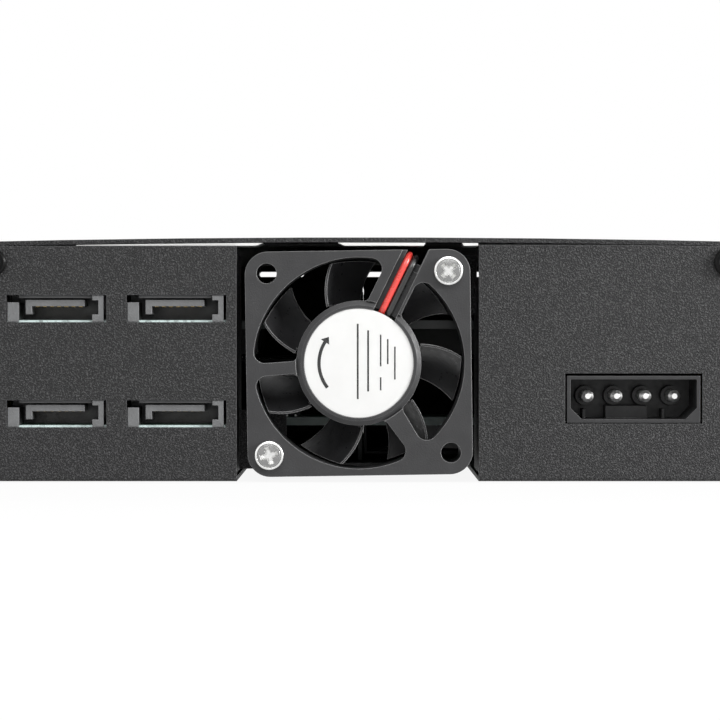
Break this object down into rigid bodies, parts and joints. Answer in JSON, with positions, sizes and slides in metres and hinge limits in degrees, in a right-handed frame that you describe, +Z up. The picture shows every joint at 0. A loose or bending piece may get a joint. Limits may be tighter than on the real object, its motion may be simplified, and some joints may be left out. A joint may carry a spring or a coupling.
{
  "type": "hot swap drive cage",
  "caption": "Half-height bay cage for small hot swap drives: trays with levers in front, a fan, signal ports and a power inlet behind.",
  "frame": {"origin": "centre of the bottom mounting hole pattern, on the underside of the floor", "axes": "+X to the right seen from the front, +Y from the front to the rear (depth), +Z up"},
  "size_m": [0.1484, 0.1675, 0.0428],
  "materials": {
    "case_coat": "fine matte powder coat, charcoal",
    "tray_coat": "fine matte powder coat, black",
    "front_plastic": "matte black moulding",
    "lever_plastic": "matte black moulding",
    "button_plastic": "grey moulding",
    "board": "glass epoxy board under solder mask",
    "connector_black": "black connector moulding",
    "header_white": "natural nylon",
    "brass_posts": "plain",
    "contact_gold": "gold flash",
    "pin_tin": "tin plated",
    "lamp_body": "clear lens",
    "light_guide": "clear acrylic",
    "fan_plastic": "black glass-filled moulding",
    "bearing_bronze": "sintered bronze",
    "stator_steel": "laminated steel",
    "label_film": "plain white label",
    "magnet_rubber": "bonded magnet",
    "shaft_steel": "ground steel",
    "lead_red": "insulated lead",
    "lead_black": "insulated lead",
    "screw_nickel": "nickel plated",
    "screw_black": "black oxide",
    "spring_steel": "spring steel"
  },
  "bodies": {
    "cage": {"board_link": "connector_black", "board_standoffs": "brass_posts", "case_screws": "screw_black", "center_divider": "tray_coat", "chassis": "case_coat", "drive_socket_1": "connector_black", "drive_socket_2": "connector_black", "drive_socket_3": "connector_black", "drive_socket_4": "connector_black", "fan_bearing": "bearing_bronze", "fan_frame": "fan_plastic", "fan_label": "label_film", "fan_lead_black": "lead_black", "fan_lead_red": "lead_red", "fan_plug": "header_white", "fan_screws": "screw_nickel", "fan_socket": "header_white", "fan_stator": "stator_steel", "front_bezel": "front_plastic", "light_pipes": "light_guide", "lower_board": "board", "power_header": "connector_black", "power_pins": "pin_tin", "sata_contacts": "contact_gold", "sata_port_1": "connector_black", "sata_port_2": "connector_black", "sata_port_3": "connector_black", "sata_port_4": "connector_black", "status_lamps": "lamp_body", "top_cover": "case_coat", "tray_guides": "tray_coat", "upper_board": "board"},
    "rotor": {"fan_rotor": "fan_plastic", "rotor_magnet": "magnet_rubber", "rotor_shaft": "shaft_steel"},
    "tray_1": {"tray_1_carrier": "tray_coat", "tray_1_front": "front_plastic", "tray_1_pin": "shaft_steel", "tray_1_spring": "spring_steel"},
    "lever_1": {"tray_1_lever": "lever_plastic"},
    "button_1": {"tray_1_button": "button_plastic"},
    "tray_2": {"tray_2_carrier": "tray_coat", "tray_2_front": "front_plastic", "tray_2_pin": "shaft_steel", "tray_2_spring": "spring_steel"},
    "lever_2": {"tray_2_lever": "lever_plastic"},
    "button_2": {"tray_2_button": "button_plastic"},
    "tray_3": {"tray_3_carrier": "tray_coat", "tray_3_front": "front_plastic", "tray_3_pin": "shaft_steel", "tray_3_spring": "spring_steel"},
    "lever_3": {"tray_3_lever": "lever_plastic"},
    "button_3": {"tray_3_button": "button_plastic"},
    "tray_4": {"tray_4_carrier": "tray_coat", "tray_4_front": "front_plastic", "tray_4_pin": "shaft_steel", "tray_4_spring": "spring_steel"},
    "lever_4": {"tray_4_lever": "lever_plastic"},
    "button_4": {"tray_4_button": "button_plastic"}
  },
  "joints": [
    {"name": "fan_spin", "type": "hinge", "parent": "cage", "child": "rotor", "pos_m": [0.0002, 0.07297, 0.0207], "axis": [0, 1, 0], "continuous": true},
    {"name": "tray_1_slide", "type": "slide", "parent": "cage", "child": "tray_1", "axis": [0, -1, 0], "range_m": [0, 0.112]},
    {"name": "tray_1_lever_turn", "type": "hinge", "parent": "tray_1", "child": "lever_1", "pos_m": [0.06798, -0.08922, 0.0103], "axis": [0, 0, 1], "range_deg": [0, 80]},
    {"name": "tray_1_button_slide", "type": "slide", "parent": "tray_1", "child": "button_1", "axis": [-1, 0, 0], "range_m": [0, 0.002], "stiffness_N_per_m": 300, "springref_m": -0.001, "deforming": ["tray_1_spring"]},
    {"name": "tray_2_slide", "type": "slide", "parent": "cage", "child": "tray_2", "axis": [0, -1, 0], "range_m": [0, 0.112]},
    {"name": "tray_2_lever_turn", "type": "hinge", "parent": "tray_2", "child": "lever_2", "pos_m": [-0.06798, -0.08922, 0.0103], "axis": [0, 0, -1], "range_deg": [0, 80]},
    {"name": "tray_2_button_slide", "type": "slide", "parent": "tray_2", "child": "button_2", "axis": [1, 0, 0], "range_m": [0, 0.002], "stiffness_N_per_m": 300, "springref_m": -0.001, "deforming": ["tray_2_spring"]},
    {"name": "tray_3_slide", "type": "slide", "parent": "cage", "child": "tray_3", "axis": [0, -1, 0], "range_m": [0, 0.112]},
    {"name": "tray_3_lever_turn", "type": "hinge", "parent": "tray_3", "child": "lever_3", "pos_m": [0.06798, -0.08922, 0.0287], "axis": [0, 0, 1], "range_deg": [0, 80]},
    {"name": "tray_3_button_slide", "type": "slide", "parent": "tray_3", "child": "button_3", "axis": [-1, 0, 0], "range_m": [0, 0.002], "stiffness_N_per_m": 300, "springref_m": -0.001, "deforming": ["tray_3_spring"]},
    {"name": "tray_4_slide", "type": "slide", "parent": "cage", "child": "tray_4", "axis": [0, -1, 0], "range_m": [0, 0.112]},
    {"name": "tray_4_lever_turn", "type": "hinge", "parent": "tray_4", "child": "lever_4", "pos_m": [-0.06798, -0.08922, 0.0287], "axis": [0, 0, -1], "range_deg": [0, 80]},
    {"name": "tray_4_button_slide", "type": "slide", "parent": "tray_4", "child": "button_4", "axis": [1, 0, 0], "range_m": [0, 0.002], "stiffness_N_per_m": 300, "springref_m": -0.001, "deforming": ["tray_4_spring"]}
  ]
}
